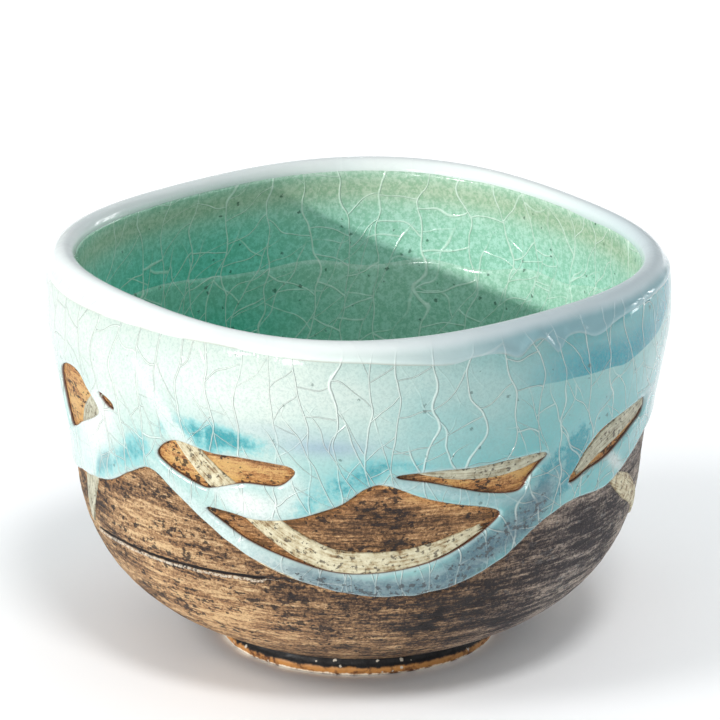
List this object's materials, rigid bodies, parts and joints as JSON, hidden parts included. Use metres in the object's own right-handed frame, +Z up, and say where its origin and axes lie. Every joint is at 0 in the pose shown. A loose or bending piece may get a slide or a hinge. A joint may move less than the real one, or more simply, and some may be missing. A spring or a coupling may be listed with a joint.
{
  "type": "matcha bowl",
  "caption": "Hand-thrown stoneware tea bowl with a softly squared lip, a turned foot ring, brushed slip strokes and layered crackle glazes that leave windows of bare clay.",
  "frame": {"origin": "on the ground under the middle of the bowl", "axes": "+Z up out of the mouth, +X to the right and +Y to the back as the front decoration is seen"},
  "size_m": [0.12, 0.1216, 0.0778],
  "materials": {
    "clay": "matte, grogged, unglazed",
    "foot_clay": "matte, toasted, with an iron-dark groove",
    "slip": "matte, brushed",
    "aqua_glaze": "gloss, crackled",
    "white_glaze": "gloss",
    "celadon_glaze": "gloss, crackled",
    "deep_green_glaze": "gloss, crackled and speckled"
  },
  "bodies": {
    "root": {"clay_body": "clay", "foot_ring": "foot_clay", "slip_stroke_sweep": "slip", "slip_stroke_loop": "slip", "slip_stroke_front_low": "slip", "slip_stroke_front_high": "slip", "slip_stroke_right": "slip", "slip_stroke_right_tail": "slip", "slip_stroke_left": "slip", "slip_stroke_back_sweep": "slip", "slip_stroke_back_high": "slip", "slip_stroke_back_left": "slip", "slip_stroke_back_tail": "slip", "outer_glaze": "aqua_glaze", "lip_glaze": "white_glaze", "inner_glaze": "celadon_glaze", "well_glaze": "deep_green_glaze"}
  },
  "joints": []
}
